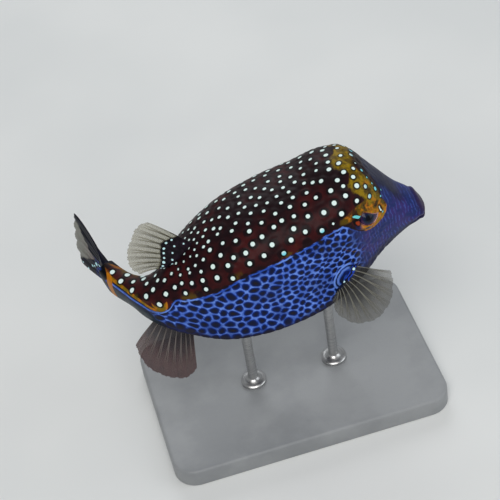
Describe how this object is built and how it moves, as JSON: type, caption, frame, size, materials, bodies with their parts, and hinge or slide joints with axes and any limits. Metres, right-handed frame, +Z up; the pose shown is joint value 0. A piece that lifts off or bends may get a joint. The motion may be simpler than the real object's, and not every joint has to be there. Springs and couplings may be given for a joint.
{
  "type": "spotted boxfish display model",
  "caption": "Life-size spotted boxfish, boxy shell of raised plates, tail curled to the left, on a flat base with two rods.",
  "frame": {"origin": "middle of the underside of the stand's base", "axes": "+X towards the fish's head, +Y to its left, +Z up"},
  "size_m": [0.1299, 0.0868, 0.11],
  "materials": {
    "head_skin": "moist satin skin, blue with paler wavy lines, yellow-brown above the eyes",
    "shell_skin": "moist satin skin over hexagonal plates, dark brown with white dots above, blue net on the sides",
    "tail_skin": "moist satin skin, dark with white dots and an orange stripe",
    "fin_web": "thin translucent web over soft rays",
    "eye": "wet glossy eye with a dark pupil and orange rim",
    "stand_base": "plain pale grey, matt",
    "stand_rod": "satin steel"
  },
  "bodies": {
    "root": {"head": "head_skin", "carapace": "shell_skin", "tail_peduncle": "tail_skin", "caudal_fin": "fin_web", "dorsal_fin": "fin_web", "anal_fin": "fin_web", "pectoral_fin_right": "fin_web", "pectoral_fin_left": "fin_web", "eye_right": "eye", "eye_left": "eye", "stand_base": "stand_base", "stand_rod_front": "stand_rod", "stand_rod_rear": "stand_rod"}
  },
  "joints": []
}
